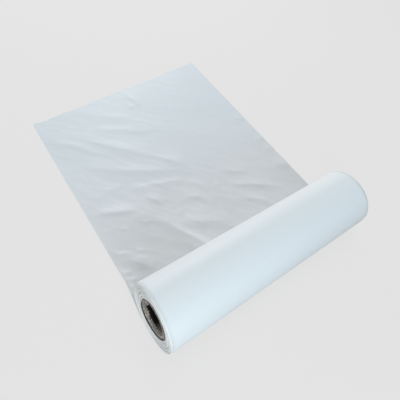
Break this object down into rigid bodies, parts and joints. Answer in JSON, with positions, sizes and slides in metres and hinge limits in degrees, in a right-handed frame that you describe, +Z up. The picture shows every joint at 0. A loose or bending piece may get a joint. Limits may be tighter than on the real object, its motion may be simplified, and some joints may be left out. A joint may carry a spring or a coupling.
{
  "type": "compostable bag roll",
  "caption": "Roll of thin translucent film bags wound on a paper core, lying on its side with the first bag pulled out flat.",
  "frame": {"origin": "on the axis of the paper core's bore, midway along the roll", "axes": "+X along the core, towards the end away from the viewer; +Y the way the loose bag is pulled out; +Z up from the surface it lies on"},
  "size_m": [0.305, 0.4135, 0.0769],
  "materials": {
    "core_board": "dry spiral-wound paperboard",
    "film": "soft satin, milky translucent film"
  },
  "bodies": {
    "root": {"core_tube": "core_board", "bag_web": "film"}
  },
  "joints": []
}
